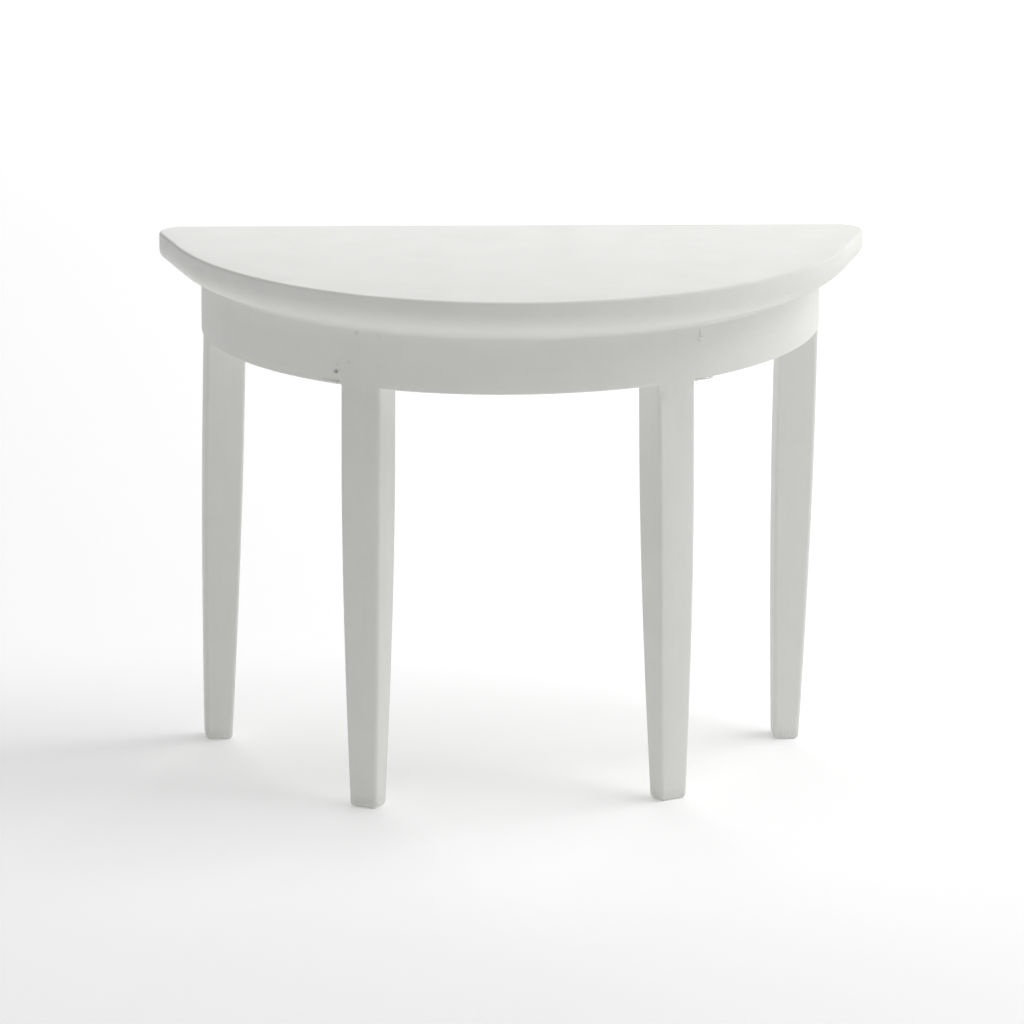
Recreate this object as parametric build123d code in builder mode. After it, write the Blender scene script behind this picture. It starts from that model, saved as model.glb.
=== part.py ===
from build123d import *
from dataclasses import dataclass
from math import cos, degrees, radians, sin, sqrt, tan
import os

# Half-moon dining table in miniature: a moulded half-round top, three curved apron pieces and a
# straight back rail between four tapered square legs, joined with dowels, glue and headless pins.
# Millimetres, +Z up. The origin is on the floor under the middle of the top's outline. The straight
# back edge of the top lies in the plane Y = BACK_Y, and the curved front faces -Y.

# ---- driving dimensions ----
TOP_RADIUS = 70.0
TABLE_HEIGHT = 105.8
APRON_RADIUS = 62.7
APRON_HEIGHT = 11.0
APRON_THICKNESS = 4.0
APRON_ARRIS = 0.4
APRON_TILT = 0.54

# moulded edge of the top, from the upper arris down to the apron
TOP_ARRIS = 0.6
EDGE_FACE = 2.1
OVOLO_RUN = 5.5
OVOLO_DROP = 5.4

# the ends of the top's outline run straight, at this angle to the Y axis, into rounded corners
FLANK_ANGLE = 15.6
CORNER_RADIUS = 5.0

# legs
LEG_WIDTH = 8.6
LEG_DEPTH = 8.0
LEG_ARRIS = 0.9
SANDING = 3.0
TAPER_START = 72.0
TAPER_KNEE = 42.0
# below the aprons the sanding runs out over the legs' outer faces at this slope
FLARE_DROP = 0.8
FLARE = 0.1

# back rail
RAIL_THICKNESS = 4.0
RAIL_SETBACK = 0.8

# dowels
APRON_DOWEL = 2.0
APRON_DOWEL_IN_LEG = 3.6
APRON_DOWEL_IN_RAIL = 4.0
APRON_DOWEL_INSET = 2.4
LEG_DOWEL = 2.5
LEG_DOWEL_IN_LEG = 3.6
LEG_DOWEL_IN_TOP = 4.4

# headless pins, driven aslant through the apron's ends into the legs and filled over
PIN_DIAMETER = 0.64
PIN_LENGTH = 4.8
PIN_SINK = 0.4
PIN_SLANT = 38.0
PIN_SETBACK = 1.2
PIN_SPREAD = 3.2

# ---- derived sizes ----
BACK_Y = TOP_RADIUS / 2
COVE_RADIUS = TOP_RADIUS - OVOLO_RUN - APRON_RADIUS
TOP_THICKNESS = EDGE_FACE + OVOLO_DROP + COVE_RADIUS
UNDERSIDE = TABLE_HEIGHT - TOP_THICKNESS
APRON_BOTTOM = UNDERSIDE - APRON_HEIGHT
JOINT_HEIGHT = UNDERSIDE - APRON_HEIGHT / 2
ARC_CENTRE = Vector(0, BACK_Y, 0)
UP = Vector(0, 0, 1)
DOWN = -UP
MARGIN = 1.0
CENTRED_UP = (Align.CENTER, Align.CENTER, Align.MIN)
CENTRED_DOWN = (Align.CENTER, Align.CENTER, Align.MAX)
APRON_RISE = tan(radians(APRON_TILT))


@dataclass(frozen=True)
class Leg:
    """Where one leg stands on the top's arc, where its outer face looks, and how it tapers.

    place and facing are degrees from +X seen from above, and reach is the distance from the arc's
    centre. lean_along and lean_out are how far the foot's middle stands from the middle of the leg's
    top, along the apron and away from the arc's centre.
    """

    name: str
    place: float
    reach: float
    facing: float
    foot_width: float
    foot_depth: float
    lean_along: float
    lean_out: float

    @property
    def middle(self):
        place = radians(self.place)
        return ARC_CENTRE + Vector(cos(place), sin(place), 0) * self.reach

    @property
    def outward(self):
        facing = radians(self.facing)
        return Vector(cos(facing), sin(facing), 0)

    @property
    def along(self):
        return UP.cross(self.outward)

    @property
    def shoulder(self):
        """Height of the aprons' lower edge at this leg, where the leg's shaft begins."""
        return APRON_BOTTOM + APRON_RISE * self.middle.X

    def side_point(self, side, radius):
        """Where the side face, +1 or -1 along the apron, is this far from the arc's centre."""
        start = self.middle - ARC_CENTRE + self.along * (side * LEG_WIDTH / 2)
        reach = start.dot(self.outward)
        travel = sqrt(radius**2 - start.dot(start) + reach**2) - reach
        return ARC_CENTRE + start + self.outward * travel

    def inner_face_x(self, y):
        """Where the face towards the arc's centre crosses a line of constant Y."""
        drift = (y - self.middle.Y) * self.outward.Y
        return self.middle.X - (LEG_DEPTH / 2 + drift) / self.outward.X


# The legs were tapered and set by hand, so no two are quite alike.
LEGS = (
    Leg("rear_left", -175.2, 58.2, -174.8, 6.0, 5.4, 0.3, 1.8),
    Leg("front_left", -120.1, 58.8, -116.7, 5.9, 5.0, 2.1, 4.8),
    Leg("front_right", -60.0, 58.8, -59.5, 6.2, 4.5, 0.3, 1.2),
    Leg("rear_right", -4.8, 58.1, 3.4, 6.8, 5.1, -1.9, -1.8),
)
REAR_LEGS = (LEGS[0], LEGS[-1])
APRONS = tuple(zip(("left", "centre", "right"), LEGS, LEGS[1:]))
APRON_JOINTS = tuple(end for _, first, last in APRONS for end in ((first, 1), (last, -1)))


def export(builder, name):
    """Label a finished piece and write it to its STEP file."""
    builder.part.label = name
    export_step(builder.part, f"parts/{name}.step")


def polar(radius, angle):
    """Point at a distance and an angle in degrees from the centre of the top's arc."""
    return ARC_CENTRE + Vector(cos(radians(angle)), sin(radians(angle)), 0) * radius


def apron_dowel_plane(leg, side):
    """Plane where an apron dowel crosses the leg's side face, its normal pointing off the leg."""
    origin = leg.side_point(side, APRON_RADIUS - APRON_DOWEL_INSET) + UP * JOINT_HEIGHT
    return Plane(origin=origin, z_dir=leg.along * side)


def rail_dowel_plane(leg):
    """Plane where a rail dowel crosses a rear leg's inner face, its normal pointing off the leg."""
    y = BACK_Y - RAIL_SETBACK - RAIL_THICKNESS / 2
    return Plane(origin=(leg.inner_face_x(y), y, JOINT_HEIGHT), z_dir=-leg.outward)


def leg_dowel_plane(leg):
    """Plane on top of a leg, where its dowel crosses into the tabletop."""
    return Plane(origin=leg.middle + UP * UNDERSIDE, z_dir=UP)


def pin_planes(leg, side):
    """Planes where the upper and lower pins beside a leg enter the apron, normals outwards."""
    edge = leg.side_point(side, APRON_RADIUS) - ARC_CENTRE
    entry = edge.rotate(Axis.Z, side * degrees(PIN_SETBACK / APRON_RADIUS))
    radial = entry.normalized()
    away = UP.cross(radial) * side
    slant = radians(PIN_SLANT)
    axis = radial * cos(slant) + away * sin(slant)
    heights = (JOINT_HEIGHT + PIN_SPREAD, JOINT_HEIGHT - PIN_SPREAD)
    return [Plane(origin=ARC_CENTRE + entry + UP * height, z_dir=axis) for height in heights]


def drill_pins(leg, side):
    """Locations from which both pin holes beside a leg are drilled."""
    return [plane.offset(MARGIN) for plane in pin_planes(leg, side)]


PIN_HOLE_DEPTH = MARGIN + PIN_SINK + PIN_LENGTH

os.makedirs("parts", exist_ok=True)

# ---- tabletop: half-round board with an undercut ovolo and cove along its curved edge ----
flank_right = polar(TOP_RADIUS, -FLANK_ANGLE)
flank_left = polar(TOP_RADIUS, FLANK_ANGLE - 180)
flank_length = TOP_RADIUS * tan(radians(FLANK_ANGLE))
flank_run = Vector(sin(radians(FLANK_ANGLE)), cos(radians(FLANK_ANGLE)), 0)
flank_run_left = Vector(-flank_run.X, flank_run.Y, 0)
front = polar(TOP_RADIUS, -90)

corner_right = flank_right + flank_run * flank_length
corner_left = flank_left + flank_run_left * flank_length

with BuildPart() as tabletop:
    with BuildSketch(Plane.XY.offset(UNDERSIDE)):
        with BuildLine():
            ThreePointArc(flank_right, front, flank_left)
            Polyline(flank_left, corner_left, corner_right, flank_right)
        outline = make_face()
        fillet(outline.vertices().group_by(Axis.Y)[-1], CORNER_RADIUS)
    extrude(amount=TOP_THICKNESS)

    # the moulding is cut along the whole curved edge, and off both ends
    cut_length = flank_length + TOP_THICKNESS
    cut_start = flank_right + flank_run * cut_length
    with BuildLine() as moulding_path:
        Line(cut_start, flank_right)
        ThreePointArc(flank_right, front, flank_left)
        Line(flank_left, flank_left + flank_run_left * cut_length)
    with BuildSketch(Plane(origin=cut_start, x_dir=flank_run.cross(UP), z_dir=-flank_run)) as moulding:
        with BuildLine():
            edge_z = TABLE_HEIGHT - EDGE_FACE
            below = UNDERSIDE - MARGIN
            ovolo_centre = (-OVOLO_RUN, edge_z)
            EllipticalCenterArc(ovolo_centre, OVOLO_RUN, OVOLO_DROP, start_angle=270, arc_size=90)
            CenterArc((-OVOLO_RUN, UNDERSIDE), COVE_RADIUS, start_angle=90, arc_size=90)
            Polyline(
                (-OVOLO_RUN - COVE_RADIUS, UNDERSIDE),
                (-OVOLO_RUN - COVE_RADIUS, below),
                (MARGIN, below),
                (MARGIN, edge_z),
                (0, edge_z),
            )
        make_face()
    sweep(moulding.sketch, path=moulding_path.wire(), mode=Mode.SUBTRACT)

    fillet(tabletop.faces().sort_by(Axis.Z)[-1].edges(), TOP_ARRIS)
    for leg in LEGS:
        with Locations(Plane(origin=leg.middle + UP * UNDERSIDE, z_dir=DOWN)):
            Hole(LEG_DOWEL / 2, LEG_DOWEL_IN_TOP)

export(tabletop, "tabletop")

# ---- aprons: curved pieces sawn to the top's arc, butted between the legs ----
# their lower edges were planed a little out of level
APRON_FOOT = Plane(origin=(0, 0, APRON_BOTTOM), x_dir=(1, 0, APRON_RISE), z_dir=(-APRON_RISE, 0, 1))

for name, first, last in APRONS:
    halfway = (first.place + last.place) / 2
    with BuildPart() as apron:
        with BuildSketch(Plane.XY.offset(UNDERSIDE)):
            with BuildLine():
                faces = []
                for radius in (APRON_RADIUS, APRON_RADIUS - APRON_THICKNESS):
                    start = first.side_point(1, radius)
                    finish = last.side_point(-1, radius)
                    faces.append(ThreePointArc(start, polar(radius, halfway), finish))
                outer, inner = faces
                Line(outer @ 0, inner @ 0)
                Line(outer @ 1, inner @ 1)
            make_face()
        extrude(amount=-APRON_HEIGHT - MARGIN)
        split(bisect_by=APRON_FOOT, keep=Keep.TOP)
        fillet(apron.faces().sort_by(Axis.Z)[0].edges().sort_by(SortBy.LENGTH)[-2:], APRON_ARRIS)
        for leg, side in ((first, 1), (last, -1)):
            with Locations(-apron_dowel_plane(leg, side)):
                Hole(APRON_DOWEL / 2, APRON_DOWEL_IN_RAIL)
            with Locations(*drill_pins(leg, side)):
                Hole(PIN_DIAMETER / 2, PIN_HOLE_DEPTH)
    export(apron, f"apron_{name}")

# ---- back rail: straight piece between the rear legs ----
rail_back = BACK_Y - RAIL_SETBACK
rail_front = rail_back - RAIL_THICKNESS
with BuildPart() as back_rail:
    with BuildSketch(Plane.XY.offset(APRON_BOTTOM)):
        left, right = REAR_LEGS
        with BuildLine():
            Polyline(
                (left.inner_face_x(rail_front), rail_front),
                (right.inner_face_x(rail_front), rail_front),
                (right.inner_face_x(rail_back), rail_back),
                (left.inner_face_x(rail_back), rail_back),
                close=True,
            )
        make_face()
    extrude(amount=APRON_HEIGHT)
    fillet(back_rail.edges().group_by(Axis.Z)[0].filter_by(Axis.X), APRON_ARRIS)
    for leg in REAR_LEGS:
        with Locations(-rail_dowel_plane(leg)):
            Hole(APRON_DOWEL / 2, APRON_DOWEL_IN_RAIL)

export(back_rail, "back_rail")

# ---- legs: a block sanded flush with the aprons, on a shaft that leans and tapers to a soft foot ----
flare_top = APRON_BOTTOM - FLARE_DROP
with BuildPart() as sanded_form:
    with BuildSketch(Plane.XZ):
        with BuildLine():
            Polyline(
                (0, TABLE_HEIGHT),
                (APRON_RADIUS, TABLE_HEIGHT),
                (APRON_RADIUS, flare_top),
                (APRON_RADIUS + FLARE * flare_top, 0),
                (0, 0),
                close=True,
            )
        make_face()
    revolve(axis=Axis.Z)
sanded_form.part.position = ARC_CENTRE

for leg in LEGS:
    across = Plane(origin=leg.middle, x_dir=leg.along, z_dir=leg.outward)
    endways = Plane(origin=leg.middle, x_dir=leg.outward, z_dir=-leg.along)
    cuts = (
        (across, LEG_WIDTH, leg.foot_width, leg.lean_along, Mode.ADD),
        (endways, LEG_DEPTH, leg.foot_depth, leg.lean_out, Mode.INTERSECT),
    )
    with BuildPart() as shaft:
        for plane, width, foot, lean, mode in cuts:
            half = width / 2
            waist = lean * (1 - TAPER_START / leg.shoulder)
            knee = lean * (1 - TAPER_KNEE / leg.shoulder)
            waist_left = (waist - half, TAPER_START)
            waist_right = (waist + half, TAPER_START)
            toe_left = (lean - foot / 2, 0)
            toe_right = (lean + foot / 2, 0)
            with BuildSketch(plane.offset(-LEG_WIDTH)):
                with BuildLine():
                    Polyline(waist_right, (half, leg.shoulder), (-half, leg.shoulder), waist_left)
                    Bezier(waist_left, (knee - half, TAPER_KNEE), toe_left)
                    Line(toe_left, toe_right)
                    Bezier(toe_right, (knee + half, TAPER_KNEE), waist_right)
                make_face()
            extrude(amount=2 * LEG_WIDTH, mode=mode)
        upright = [edge for edge in shaft.edges() if edge.bounding_box().size.Z > LEG_WIDTH]
        fillet(upright + shaft.edges().group_by(Axis.Z)[0], LEG_ARRIS)

    with BuildPart() as tapered_leg:
        with BuildSketch(Plane(origin=leg.middle + UP * leg.shoulder, x_dir=leg.along, z_dir=UP)):
            with Locations((0, LEG_DEPTH / 2)):
                Rectangle(LEG_WIDTH, LEG_DEPTH + SANDING, align=(Align.CENTER, Align.MAX))
        extrude(amount=UNDERSIDE - leg.shoulder)
        add(shaft)
        add(sanded_form.part, mode=Mode.INTERSECT)

        with Locations(leg_dowel_plane(leg)):
            Hole(LEG_DOWEL / 2, LEG_DOWEL_IN_LEG)
        if leg in REAR_LEGS:
            with Locations(rail_dowel_plane(leg)):
                Hole(APRON_DOWEL / 2, APRON_DOWEL_IN_LEG)
        for owner, side in APRON_JOINTS:
            if owner == leg:
                with Locations(apron_dowel_plane(leg, side)):
                    Hole(APRON_DOWEL / 2, APRON_DOWEL_IN_LEG)
                with Locations(*drill_pins(leg, side)):
                    Hole(PIN_DIAMETER / 2, PIN_HOLE_DEPTH)
    export(tapered_leg, f"leg_{leg.name}")

# ---- dowels: plain beech pegs hidden in the joints ----
apron_dowel_length = APRON_DOWEL_IN_LEG + APRON_DOWEL_IN_RAIL
apron_sockets = [apron_dowel_plane(leg, side) for leg, side in APRON_JOINTS]
with BuildPart() as apron_dowels:
    with Locations(*[socket.offset(-APRON_DOWEL_IN_LEG) for socket in apron_sockets]):
        Cylinder(APRON_DOWEL / 2, apron_dowel_length, align=CENTRED_UP)
export(apron_dowels, "apron_dowels")

with BuildPart() as back_rail_dowels:
    with Locations(*[rail_dowel_plane(leg).offset(-APRON_DOWEL_IN_LEG) for leg in REAR_LEGS]):
        Cylinder(APRON_DOWEL / 2, apron_dowel_length, align=CENTRED_UP)
export(back_rail_dowels, "back_rail_dowels")

with BuildPart() as leg_dowels:
    with Locations(*[leg_dowel_plane(leg).offset(-LEG_DOWEL_IN_LEG) for leg in LEGS]):
        Cylinder(LEG_DOWEL / 2, LEG_DOWEL_IN_LEG + LEG_DOWEL_IN_TOP, align=CENTRED_UP)
export(leg_dowels, "leg_dowels")

# ---- pins and the filler over them; the filler has dropped out of one hole ----
all_pins = [plane for leg, side in APRON_JOINTS for plane in pin_planes(leg, side)]
open_hole = pin_planes(LEGS[1], -1)[-1]
filled = [plane for plane in all_pins if plane.origin != open_hole.origin]

with BuildPart() as apron_pins:
    with Locations(*[plane.offset(-PIN_SINK) for plane in all_pins]):
        Cylinder(PIN_DIAMETER / 2, PIN_LENGTH, align=CENTRED_DOWN)
export(apron_pins, "apron_pins")

with BuildPart() as pin_filler:
    with Locations(*[plane.offset(-PIN_SINK) for plane in filled]):
        Cylinder(PIN_DIAMETER / 2, PIN_SINK + MARGIN, align=CENTRED_UP)
    with Locations(ARC_CENTRE):
        Cylinder(APRON_RADIUS, TABLE_HEIGHT, align=CENTRED_UP, mode=Mode.INTERSECT)
export(pin_filler, "pin_filler")
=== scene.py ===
"""Half-moon miniature dining table: materials, paint details, studio and camera around the CAD frame."""

from math import atan2, cos, hypot, pi, radians, sin

import bmesh
import bpy
from mathutils import Euler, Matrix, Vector, noise

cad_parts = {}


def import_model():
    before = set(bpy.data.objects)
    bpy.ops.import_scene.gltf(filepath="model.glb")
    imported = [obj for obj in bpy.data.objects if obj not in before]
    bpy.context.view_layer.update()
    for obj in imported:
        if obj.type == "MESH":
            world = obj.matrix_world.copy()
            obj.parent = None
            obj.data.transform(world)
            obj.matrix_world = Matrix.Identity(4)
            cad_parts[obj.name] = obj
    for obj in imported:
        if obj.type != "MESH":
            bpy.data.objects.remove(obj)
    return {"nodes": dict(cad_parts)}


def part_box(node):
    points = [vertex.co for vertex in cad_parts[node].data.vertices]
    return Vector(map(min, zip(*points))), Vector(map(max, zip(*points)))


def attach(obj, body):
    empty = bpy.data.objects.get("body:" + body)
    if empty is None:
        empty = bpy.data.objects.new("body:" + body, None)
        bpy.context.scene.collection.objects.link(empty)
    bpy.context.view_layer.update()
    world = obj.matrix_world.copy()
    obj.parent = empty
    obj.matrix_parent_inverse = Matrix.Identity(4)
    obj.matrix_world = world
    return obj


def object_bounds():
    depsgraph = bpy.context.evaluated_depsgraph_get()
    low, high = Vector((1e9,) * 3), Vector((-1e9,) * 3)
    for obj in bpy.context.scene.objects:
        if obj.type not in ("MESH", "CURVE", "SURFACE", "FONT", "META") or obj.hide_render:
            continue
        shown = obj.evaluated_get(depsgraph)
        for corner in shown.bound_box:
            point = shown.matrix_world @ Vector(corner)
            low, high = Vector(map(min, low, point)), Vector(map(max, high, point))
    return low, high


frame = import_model()
cad_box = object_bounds()
nodes = frame["nodes"]

MM = 0.001
CENTRE = (Vector(cad_box[0]) + Vector(cad_box[1])) / 2

# ---- where the aprons' outer face and its joints are ----
TOP_HIGH = Vector(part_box("tabletop")[1])
APRON_LOW, APRON_HIGH = [Vector(corner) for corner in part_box("apron_centre")]
ARC_CENTRE = Vector((0, TOP_HIGH.y, 0))
APRON_RADIUS = ARC_CENTRE.y - APRON_LOW.y
CREASE = APRON_HIGH.z
APRON_FOOT = APRON_LOW.z
ON_THE_ARC = 0.005 * MM  # a vertex this close to the aprons' radius is on their outer face


def on_apron(angle, height, proud=0.0):
    """Point on the aprons' outer face, at an angle in radians around the arc's centre."""
    outward = Vector((cos(angle), sin(angle), 0))
    return ARC_CENTRE + outward * (APRON_RADIUS + proud) + Vector((0, 0, height))


def apron_span(name):
    """Angles at which an apron's outer face begins and ends: its joints with the legs."""
    places = [vertex.co - ARC_CENTRE for vertex in nodes[name].data.vertices]
    outer = [at for at in places if abs(hypot(at.x, at.y) - APRON_RADIUS) < ON_THE_ARC]
    angles = [atan2(at.y, at.x) for at in outer]
    return min(angles), max(angles)


APRONS = ("apron_left", "apron_centre", "apron_right")
JOINTS = [angle for name in APRONS for angle in apron_span(name)]
FRONT_LEFT, FRONT_RIGHT = JOINTS[1], JOINTS[4]  # the outer sides of the two front legs
PIN_SETBACK = 1.2 * MM / APRON_RADIUS  # from a joint to its pins, as an angle
PIN_RADIUS = 0.32 * MM
LOWER_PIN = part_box("apron_pins")[0][2] + PIN_RADIUS
UPPER_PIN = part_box("apron_pins")[1][2] - PIN_RADIUS
OPEN_HOLE = on_apron(FRONT_LEFT - PIN_SETBACK, LOWER_PIN)
FILLED_HOLE = on_apron(FRONT_RIGHT + PIN_SETBACK, UPPER_PIN)


# ---- node trees ----
class Tree:
    """Builds one node tree: add() sets or links a new node's inputs, the rest return its output."""

    def __init__(self, tree):
        self.tree = tree
        tree.nodes.clear()

    def add(self, kind, inputs=None, **settings):
        node = self.tree.nodes.new(kind)
        for name, value in settings.items():
            setattr(node, name, value)
        for name, value in (inputs or {}).items():
            if isinstance(value, bpy.types.NodeSocket):
                self.tree.links.new(value, node.inputs[name])
            else:
                node.inputs[name].default_value = value
        return node

    def noise(self, vector, size, detail=2.0, roughness=0.5, distortion=0.0):
        """Noise whose blotches are about this many metres across."""
        made = self.add(
            "ShaderNodeTexNoise",
            {
                "Vector": vector,
                "Scale": 1 / size,
                "Detail": detail,
                "Roughness": roughness,
                "Distortion": distortion,
            },
        )
        return made.outputs["Fac"]

    def ramp(self, value, low, high, to_low=0.0, to_high=1.0):
        """Maps low to to_low and high to to_high, evenly between them and flat beyond."""
        made = self.add(
            "ShaderNodeMapRange",
            {"Value": value, "From Min": low, "From Max": high, "To Min": to_low, "To Max": to_high},
        )
        return made.outputs["Result"]

    def math(self, operation, first, second):
        return self.add("ShaderNodeMath", {0: first, 1: second}, operation=operation).outputs[0]

    def mix(self, factor, first, second):
        colours = {0: factor, 6: first, 7: second}
        made = self.add("ShaderNodeMix", colours, data_type="RGBA", blend_type="MIX")
        return made.outputs[2]

    def stretched(self, vector, scale, offset=(0.0, 0.0, 0.0)):
        made = self.add("ShaderNodeMapping", {"Vector": vector, "Scale": scale, "Location": offset})
        return made.outputs["Vector"]


def new_material(name):
    material = bpy.data.materials.new(name)
    material.use_nodes = True
    return material, Tree(material.node_tree)


def finish_material(tree, shader):
    tree.add("ShaderNodeOutputMaterial", {"Surface": shader.outputs[0]})


# ---- painted wood ----
PAINT = (0.811, 0.816, 0.786, 1.0)
PAINT_THIN = (0.752, 0.762, 0.728, 1.0)
# dark tone for grime, dust specks and chips, and for the painted shade at the feet and in the open pin
# hole
GRIME_AND_SHADE_TONE = (0.36, 0.36, 0.33, 1.0)
MOST_THIN = 0.42  # how far the paint goes towards its thin colour
# painted shade: the feet are painted darker towards the floor, where they stand in shade
FOOT_SHADE_HEIGHT = 2.6 * MM  # how high the painted shade at the bottoms of the feet reaches
FOOT_SHADE_DARKNESS = 0.30

# how large each kind of unevenness in the paint is
MOTTLE = 9 * MM
STROKE = 0.9 * MM
GRAIN = 2.6 * MM
PEEL = 1.5 * MM
SAG = 6 * MM
CRUMBLE = 0.45 * MM

# how much each kind lifts the paint, and how much a speck dents it
PEEL_LIFT = 0.5
STROKE_LIFT = 0.35
GRAIN_LIFT = 0.45
SAG_LIFT = 1.6
SPECK_DENT = 0.4
PAINT_RELIEF = 0.055 * MM
PAINT_RELIEF_STRENGTH = 0.6

# specks: how far apart, how large and how dark they are
SPECK_SPACING = 11 * MM
SPECK_SIZE = 0.035  # of the spacing
SPECK_PATCHES = 31 * MM  # specks come in patches of this size
SPECK_PATCH_CUT = 0.56  # and only where the patches' noise is above this
SPECK_GRIME = 0.22

# grime that has settled in marks, and painted shade in the open pin hole: where, how far it spreads, and
# how dark it is
MARKS = (
    # painted shade in and around the open pin hole, along with grime
    (OPEN_HOLE, 0.75 * MM, 0.85),
    (on_apron(FRONT_LEFT - PIN_SETBACK, APRON_FOOT + 0.5 * MM), 1.0 * MM, 0.55),
    (on_apron(FRONT_LEFT + 3.0 * PIN_SETBACK, CREASE - 0.2 * MM), 0.8 * MM, 0.40),
    (on_apron(FRONT_LEFT + 1.6 * PIN_SETBACK, LOWER_PIN + 2.2 * MM), 0.6 * MM, 0.22),
    (on_apron(JOINTS[2], CREASE - 0.4 * MM), 0.7 * MM, 0.25),
    (FILLED_HOLE + Vector((0, 0, 0.9 * MM)), 0.5 * MM, 0.20),
    (Vector((TOP_HIGH.x - 10 * MM, TOP_HIGH.y - 5 * MM, TOP_HIGH.z)), 0.8 * MM, 0.22),
    (Vector((TOP_HIGH.x - 8 * MM, TOP_HIGH.y - 9 * MM, TOP_HIGH.z)), 0.6 * MM, 0.18),
)


def painted_wood(name, brushed, seed):
    """Satin white paint brushed over fine-grained wood.

    brushed is how far each axis is squeezed for the brush marks: small along the strokes. seed shifts
    the pattern, so that no two finishes have the same one.
    """
    material, tree = new_material(name)
    place = tree.add("ShaderNodeTexCoord").outputs["Object"]
    here = tree.stretched(place, (1.0, 1.0, 1.0), (seed * 0.13, seed * 0.07, seed * 0.19))
    strokes_at = tree.stretched(here, brushed)

    mottle = tree.noise(here, MOTTLE, detail=4.0, roughness=0.6)
    strokes = tree.noise(strokes_at, STROKE, detail=3.0, roughness=0.6)
    grain = tree.noise(strokes_at, GRAIN, detail=5.0, roughness=0.7, distortion=0.4)
    peel = tree.noise(here, PEEL, detail=2.0)
    sag = tree.noise(here, SAG, detail=2.0)

    # a few pinholes and specks of dust caught in the paint
    speck = tree.add(
        "ShaderNodeTexVoronoi",
        {"Vector": here, "Scale": 1 / SPECK_SPACING, "Randomness": 1.0},
    )
    size = tree.math("MULTIPLY", speck.outputs["Color"], SPECK_SIZE)
    near = tree.math("LESS_THAN", speck.outputs["Distance"], size)
    patches = tree.noise(here, SPECK_PATCHES, detail=0.0)
    rare = tree.math("GREATER_THAN", patches, SPECK_PATCH_CUT)
    specks = tree.math("MULTIPLY", near, rare)

    # grime in the marks, with painted shade in the open pin hole, and painted shade darkening the
    # bottoms of the feet towards the floor
    crumble = tree.ramp(tree.noise(here, CRUMBLE, detail=3.0), 0.35, 0.62)
    height_up = tree.add("ShaderNodeSeparateXYZ", {0: place}).outputs["Z"]
    grime_and_shade = tree.math("MULTIPLY", tree.ramp(height_up, 0.0, FOOT_SHADE_HEIGHT, FOOT_SHADE_DARKNESS, 0.0), crumble)
    for centre, spread, strength in MARKS:
        gap = tree.add("ShaderNodeVectorMath", {0: place, 1: centre}, operation="DISTANCE")
        fading = tree.ramp(gap.outputs["Value"], 0.25 * spread, spread, strength, 0.0)
        spot = tree.math("MULTIPLY", fading, crumble)
        grime_and_shade = tree.math("MAXIMUM", grime_and_shade, spot)

    thin = tree.math("ADD", tree.ramp(mottle, 0.35, 0.75), tree.ramp(strokes, 0.3, 0.8, -0.35, 0.35))
    tone = tree.mix(tree.ramp(thin, 0.0, 1.0, 0.0, MOST_THIN), PAINT, PAINT_THIN)
    # the paint goes towards the dark tone with grime and specks, and with the painted shade at the feet
    # and the open pin hole
    marks_and_shade = tree.math("MAXIMUM", grime_and_shade, tree.math("MULTIPLY", specks, SPECK_GRIME))
    tone = tree.mix(marks_and_shade, tone, GRIME_AND_SHADE_TONE)

    height = tree.math("MULTIPLY", peel, PEEL_LIFT)
    height = tree.math("ADD", height, tree.math("MULTIPLY", strokes, STROKE_LIFT))
    height = tree.math("ADD", height, tree.math("MULTIPLY", grain, GRAIN_LIFT))
    height = tree.math("ADD", height, tree.math("MULTIPLY", sag, SAG_LIFT))
    height = tree.math("SUBTRACT", height, tree.math("MULTIPLY", specks, SPECK_DENT))
    height = tree.math("SUBTRACT", height, grime_and_shade)
    bump = tree.add(
        "ShaderNodeBump",
        {"Strength": PAINT_RELIEF_STRENGTH, "Distance": PAINT_RELIEF, "Height": height},
    )

    unevenness = tree.math("ADD", mottle, tree.math("MULTIPLY", strokes, 0.4))
    gloss = tree.ramp(unevenness, 0.4, 1.0, 0.50, 0.58)
    shader = tree.add(
        "ShaderNodeBsdfPrincipled",
        {"Base Color": tone, "Roughness": gloss, "IOR": 1.46, "Normal": bump.outputs["Normal"]},
    )
    finish_material(tree, shader)
    return material


BEECH_DARK = (0.60, 0.42, 0.26, 1.0)
BEECH_LIGHT = (0.76, 0.60, 0.42, 1.0)
BEECH_FLECK = (0.42, 0.26, 0.14, 1.0)
STEEL = (0.56, 0.56, 0.55, 1.0)
STEEL_TARNISH = (0.28, 0.24, 0.20, 1.0)


def bare_beech(name):
    """Unpainted beech of the dowels, with short flecks that all run upright."""
    material, tree = new_material(name)
    place = tree.add("ShaderNodeTexCoord").outputs["Object"]
    fibre = tree.noise(tree.stretched(place, (1.0, 1.0, 0.25)), 0.5 * MM, detail=4.0, roughness=0.65)
    flecks = tree.noise(tree.stretched(place, (1.0, 1.0, 0.4)), 0.22 * MM, detail=1.0)
    tone = tree.mix(fibre, BEECH_DARK, BEECH_LIGHT)
    tone = tree.mix(tree.ramp(flecks, 0.62, 0.75, 0.0, 0.5), tone, BEECH_FLECK)
    bump = tree.add("ShaderNodeBump", {"Strength": 0.4, "Distance": 0.03 * MM, "Height": fibre})
    shader = tree.add(
        "ShaderNodeBsdfPrincipled",
        {
            "Base Color": tone,
            "Roughness": tree.ramp(fibre, 0.3, 0.7, 0.62, 0.75),
            "Normal": bump.outputs["Normal"],
        },
    )
    finish_material(tree, shader)
    return material


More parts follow.
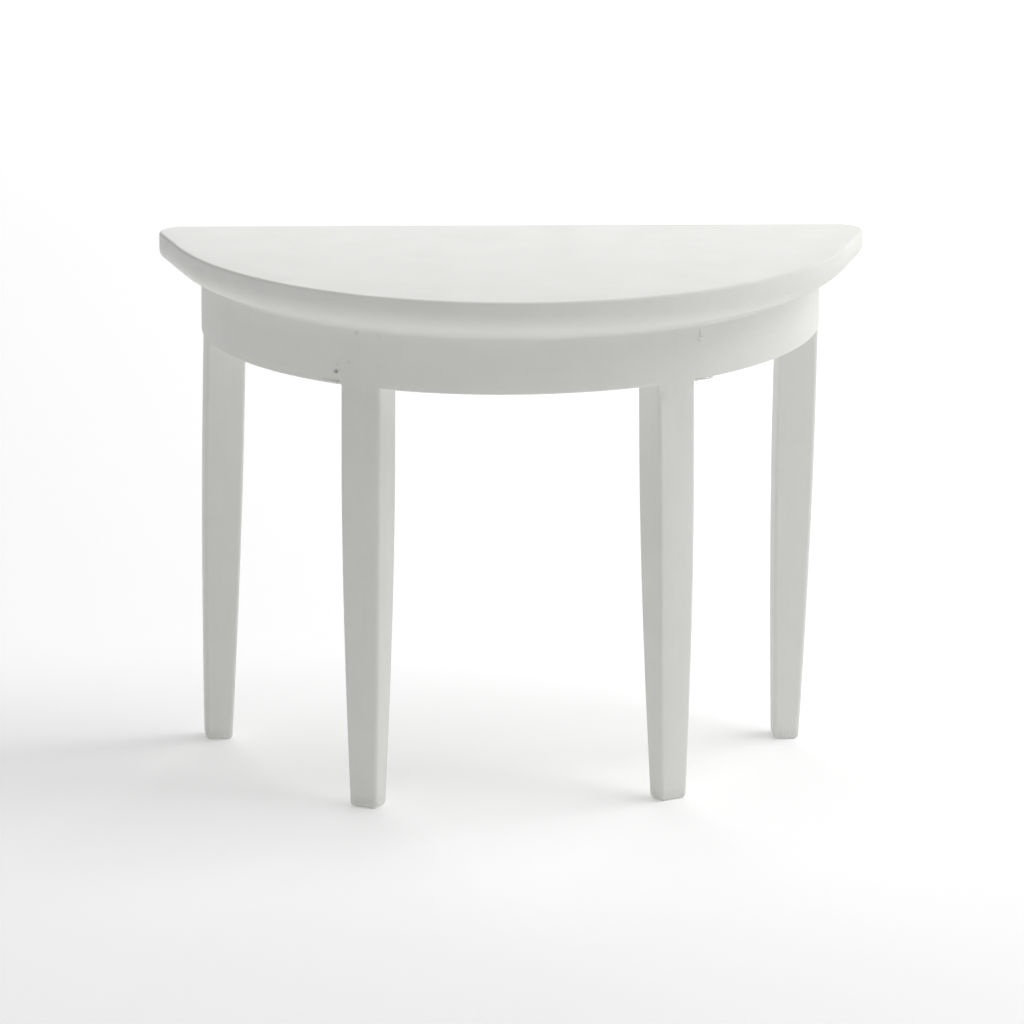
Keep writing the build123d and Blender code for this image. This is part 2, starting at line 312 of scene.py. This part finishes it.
def drawn_steel(name):
    """Bright wire of the headless pins, finely roughened and a little tarnished."""
    material, tree = new_material(name)
    place = tree.add("ShaderNodeTexCoord").outputs["Object"]
    fine = tree.noise(place, 0.08 * MM, detail=2.0)
    tarnish = tree.noise(place, 1.2 * MM, detail=3.0)
    tone = tree.mix(tree.ramp(tarnish, 0.5, 0.7, 0.0, 0.6), STEEL, STEEL_TARNISH)
    bump = tree.add("ShaderNodeBump", {"Strength": 0.3, "Distance": 0.005 * MM, "Height": fine})
    shader = tree.add(
        "ShaderNodeBsdfPrincipled",
        {
            "Base Color": tone,
            "Metallic": 1.0,
            "Roughness": tree.ramp(tarnish, 0.3, 0.7, 0.28, 0.5),
            "Normal": bump.outputs["Normal"],
        },
    )
    finish_material(tree, shader)
    return material


ALONG_X = (0.04, 1.0, 1.0)
ALONG_Z = (1.0, 1.0, 0.04)
ALONG_APRON = (0.05, 0.05, 1.0)
UNBRUSHED = (1.0, 1.0, 1.0)
FINISHES = {
    "tabletop": painted_wood("paint_tabletop", ALONG_X, 1),
    "apron": painted_wood("paint_apron", ALONG_APRON, 2),
    "back_rail": painted_wood("paint_back_rail", ALONG_X, 3),
    "leg": painted_wood("paint_leg", ALONG_Z, 4),
    "pin_filler": painted_wood("paint_filler", UNBRUSHED, 5),
    "apron_pins": drawn_steel("pin_steel"),
    "dowels": bare_beech("beech"),
}


def finish_of(name):
    if name.endswith("dowels"):
        return FINISHES["dowels"]
    return FINISHES.get(name) or FINISHES[name.split("_")[0]]


CRISP_EDGE = radians(32)
WELD_GAP = 0.0005 * MM


def smooth_shading(piece):
    """Shades curved faces as smooth and keeps edges sharper than CRISP_EDGE crisp."""
    mesh = piece.data
    attribute = mesh.attributes.get("custom_normal")
    if attribute:
        mesh.attributes.remove(attribute)
    mesh.polygons.foreach_set("use_smooth", [True] * len(mesh.polygons))
    weld = piece.modifiers.new("weld", "WELD")
    weld.merge_threshold = WELD_GAP
    split = piece.modifiers.new("crisp_edges", "EDGE_SPLIT")
    split.split_angle = CRISP_EDGE
    split.use_edge_sharp = False


for name, node in nodes.items():
    node.data.materials.clear()
    node.data.materials.append(finish_of(name))
    smooth_shading(node)


# ---- paint that stands proud: beads along the joints, blisters, filler and crumbs ----
UP = Vector((0, 0, 1))
LUMP_SWELL = 0.35  # how uneven a lump is
LUMP_WAVES = 1.3  # across a lump's half width
LUMP_SHIFT = 900  # gives lumps in different places different shapes
BEAD_THICKNESS = 0.8  # of BEAD_RADIUS, before swelling
BEAD_SWELL = 0.7
BEAD_WAVES = 450  # to a metre
BEAD_SIDES = 8
BEAD_STEPS = 24
BEAD_RADIUS = 0.11 * MM
BEAD_DEPTH = 0.075 * MM  # how far a bead's middle lies below the surface
BEAD_GAP = 0.9 * MM  # between a bead and the apron's lower edge
CRUMB_SEED = 1  # without it noise_vector gives other crumbs on every run
CRUMBS_A_SIDE = 9
CRUMB_START = 0.25  # from the joint, as a part of PIN_SETBACK
CRUMB_STEP = 0.42
CRUMB_LIFT = 0.55  # above the aprons' lower edge, in mm
CRUMB_LIFT_SCATTER = 0.25
CRUMB_WIDTH = 0.24  # half width in mm
CRUMB_WIDTH_SCATTER = 0.12
CRUMB_FLATNESS = 0.7  # height as a part of width
CRUMB_PROUD = 0.12 * MM


def painted_piece(name, form):
    """Makes one piece of paint on the aprons out of a bmesh form."""
    mesh = bpy.data.meshes.new(name)
    bmesh.ops.recalc_face_normals(form, faces=form.faces)
    form.to_mesh(mesh)
    form.free()
    mesh.polygons.foreach_set("use_smooth", [True] * len(mesh.polygons))
    mesh.materials.append(FINISHES["apron"])
    made = bpy.data.objects.new(name, mesh)
    bpy.context.scene.collection.objects.link(made)
    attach(made, "root")


def outward_at(place):
    return Vector((place.x - ARC_CENTRE.x, place.y - ARC_CENTRE.y, 0)).normalized()


def lump(form, place, outward, size):
    """Adds one uneven drop of paint; size is its half width, half height and how proud it stands."""
    across = UP.cross(outward)
    drop = bmesh.ops.create_icosphere(form, subdivisions=3, radius=1.0)["verts"]
    for vertex in drop:
        shape = vertex.co.copy()
        swell = 1 + LUMP_SWELL * noise.noise(shape * LUMP_WAVES + place * LUMP_SHIFT)
        offset = across * shape.x * size[0] + UP * shape.y * size[1] + outward * shape.z * size[2]
        vertex.co = place + offset * swell


def bead(form, path, radius):
    """Adds a bead of paint along a path on the aprons, thicker and thinner as it goes."""
    turns = [2 * pi * corner / BEAD_SIDES for corner in range(BEAD_SIDES)]
    rings = []
    for step, place in enumerate(path):
        ahead = (path[min(step + 1, len(path) - 1)] - path[max(step - 1, 0)]).normalized()
        outward = outward_at(place)
        side = ahead.cross(outward)
        swell = radius * (BEAD_THICKNESS + BEAD_SWELL * noise.noise(place * BEAD_WAVES))
        rim = [place + (outward * cos(turn) + side * sin(turn)) * swell for turn in turns]
        rings.append([form.verts.new(corner) for corner in rim])
    for ring, following in zip(rings, rings[1:]):
        for corner in range(BEAD_SIDES):
            after = (corner + 1) % BEAD_SIDES
            form.faces.new((ring[corner], ring[after], following[after], following[corner]))
    form.faces.new(rings[0])
    form.faces.new(list(reversed(rings[-1])))


def joint_beads():
    """Faint ridges where the paint bridges the joints between aprons and legs."""
    form = bmesh.new()
    foot = APRON_FOOT + BEAD_GAP
    heights = [foot + (CREASE - foot) * step / BEAD_STEPS for step in range(BEAD_STEPS + 1)]
    for angle in JOINTS:
        bead(form, [on_apron(angle, height, -BEAD_DEPTH) for height in heights], BEAD_RADIUS)
    painted_piece("joint_paint", form)


def blister():
    """Lifted paint above the open pin hole, and a smaller one beside it."""
    form = bmesh.new()
    above = on_apron(FRONT_LEFT - PIN_SETBACK * 0.8, LOWER_PIN + 1.0 * MM)
    beside = on_apron(FRONT_LEFT - PIN_SETBACK * 0.35, LOWER_PIN + 0.1 * MM)
    lump(form, above, outward_at(above), (0.50 * MM, 0.42 * MM, 0.24 * MM))
    lump(form, beside, outward_at(beside), (0.26 * MM, 0.40 * MM, 0.18 * MM))
    painted_piece("paint_blister", form)


def filler_smear():
    """Filler left standing over the upper pin at right: a lump, a streak above it and a smear below."""
    form = bmesh.new()
    outward = outward_at(FILLED_HOLE)
    lump(form, FILLED_HOLE, outward, (0.70 * MM, 0.34 * MM, 0.24 * MM))
    streak = FILLED_HOLE + Vector((0, 0, 0.9 * MM))
    lump(form, streak, outward, (0.20 * MM, 1.00 * MM, 0.22 * MM))
    lump(form, FILLED_HOLE - Vector((0, 0, 0.5 * MM)), outward, (0.40 * MM, 0.22 * MM, 0.18 * MM))
    painted_piece("filler_smear", form)


def crumbs():
    """Crumbs of dried paint along the aprons' lower corners beside the front legs."""
    noise.seed_set(CRUMB_SEED)
    form = bmesh.new()
    for joint, side in ((FRONT_LEFT, -1), (FRONT_RIGHT, 1)):
        for step in range(CRUMBS_A_SIDE):
            jitter = noise.noise_vector(Vector((step * 1.7, side * 3.1, 0.4)))
            angle = joint + side * PIN_SETBACK * (CRUMB_START + CRUMB_STEP * step)
            lift = (CRUMB_LIFT + CRUMB_LIFT_SCATTER * jitter.x) * MM
            place = on_apron(angle, APRON_FOOT + lift)
            width = (CRUMB_WIDTH + CRUMB_WIDTH_SCATTER * jitter.y) * MM
            lump(form, place, outward_at(place), (width, width * CRUMB_FLATNESS, CRUMB_PROUD))
    painted_piece("paint_crumbs", form)


joint_beads()
blister()
filler_smear()
crumbs()


# ---- studio ----
STAGE_GLOW = 0.18  # of the paper near the table
STAGE_FAR_GLOW = 0.85  # and of the paper far from it
GLOW_NEAR = 1.0  # the glow rises between these distances from the middle of the floor
GLOW_FAR = 3.2
BEND_STEPS = 8
SWEEP_STEPS = 96
WORLD_GLOW = 0.08


def sweep(flat, bend, wall):
    """Round seamless backdrop: a flat floor that curves up into a low wall, glowing more far away."""
    quarter = [pi / 2 * step / BEND_STEPS for step in range(BEND_STEPS + 1)]
    section = [Vector((0, 0, 0)), Vector((flat / 2, 0, 0))]
    section += [Vector((flat + bend * sin(turn), 0, bend * (1 - cos(turn)))) for turn in quarter]
    section += [Vector((flat + bend, 0, bend + wall))]
    form = bmesh.new()
    line = [form.verts.new(place) for place in section]
    rungs = [form.edges.new(pair) for pair in zip(line, line[1:])]
    around = {"axis": (0, 0, 1), "cent": (0, 0, 0), "angle": 2 * pi, "steps": SWEEP_STEPS}
    bmesh.ops.spin(form, geom=line + rungs, **around)
    bmesh.ops.remove_doubles(form, verts=form.verts, dist=MM)
    mesh = bpy.data.meshes.new("sweep")
    form.to_mesh(mesh)
    form.free()
    mesh.polygons.foreach_set("use_smooth", [True] * len(mesh.polygons))

    material, tree = new_material("sweep_paper")
    place = tree.add("ShaderNodeTexCoord").outputs["Object"]
    away = tree.add("ShaderNodeVectorMath", {0: place}, operation="LENGTH").outputs["Value"]
    fibre = tree.noise(place, 3 * MM, detail=3.0)
    shader = tree.add(
        "ShaderNodeBsdfPrincipled",
        {
            "Base Color": tree.mix(fibre, (0.90, 0.90, 0.90, 1.0), (0.93, 0.93, 0.93, 1.0)),
            "Roughness": 0.9,
            "Specular IOR Level": 0.1,
            "Emission Color": (1.0, 1.0, 1.0, 1.0),
            "Emission Strength": tree.ramp(away, GLOW_NEAR, GLOW_FAR, STAGE_GLOW, STAGE_FAR_GLOW),
        },
    )
    finish_material(tree, shader)
    mesh.materials.append(material)
    made = bpy.data.objects.new("sweep", mesh)
    bpy.context.scene.collection.objects.link(made)


def soft_box(name, azimuth, elevation, distance, size, radiance):
    """Square area light aimed at the table; azimuth 0 is the camera's side and +90 is the right."""
    light = bpy.data.lights.new(name, "AREA")
    light.size = size
    light.energy = radiance * pi * size**2
    made = bpy.data.objects.new(name, light)
    around, up = radians(azimuth), radians(elevation)
    away = Vector((sin(around) * cos(up), -cos(around) * cos(up), sin(up)))
    made.location = CENTRE + away * distance
    made.rotation_euler = away.to_track_quat("Z", "Y").to_euler()
    bpy.context.scene.collection.objects.link(made)


def world():
    """An even, faint white light from all round."""
    made = bpy.data.worlds.new("tent")
    made.use_nodes = True
    tree = Tree(made.node_tree)
    shader = tree.add("ShaderNodeBackground", {"Color": (1.0, 1.0, 1.0, 1.0), "Strength": WORLD_GLOW})
    tree.add("ShaderNodeOutputWorld", {"Surface": shader.outputs[0]})
    bpy.context.scene.world = made


sweep(flat=3.4, bend=0.25, wall=0.05)
world()
soft_box("back", azimuth=180, elevation=19, distance=1.1, size=0.8, radiance=2.10)
soft_box("ceiling", azimuth=0, elevation=90, distance=1.0, size=1.0, radiance=0.68)
soft_box("front", azimuth=0, elevation=50, distance=1.1, size=0.8, radiance=0.50)
soft_box("left", azimuth=-90, elevation=50, distance=1.0, size=0.8, radiance=0.42)
soft_box("right", azimuth=90, elevation=50, distance=1.0, size=0.8, radiance=2.48)
soft_box("right_back", azimuth=130, elevation=20, distance=0.6, size=0.5, radiance=1.35)


# ---- camera ----
def camera(azimuth, elevation, roll, distance, lens, target):
    """Aims the camera at the target; angles in degrees, azimuth 0 looking along +Y at the front."""
    data = bpy.data.cameras.new("camera")
    data.lens = lens
    data.clip_start = 0.05
    data.clip_end = 50
    made = bpy.data.objects.new("camera", data)
    turn, tilt = radians(azimuth), radians(elevation)
    away = Vector((sin(turn) * cos(tilt), -cos(turn) * cos(tilt), sin(tilt)))
    made.location = target + away * distance
    aim = Euler((pi / 2 - tilt, 0, turn)).to_matrix().to_4x4()
    made.rotation_euler = (aim @ Euler((0, 0, radians(roll))).to_matrix().to_4x4()).to_euler()
    bpy.context.scene.collection.objects.link(made)
    bpy.context.scene.camera = made


AIM = Vector((-0.6, 0.0, 54.7)) * MM
camera(azimuth=-1.69, elevation=14.458, roll=0.14, distance=1.75, lens=307.3, target=AIM)

scene = bpy.context.scene
scene.view_settings.view_transform = "Standard"
scene.view_settings.look = "None"
scene.view_settings.exposure = 0.0
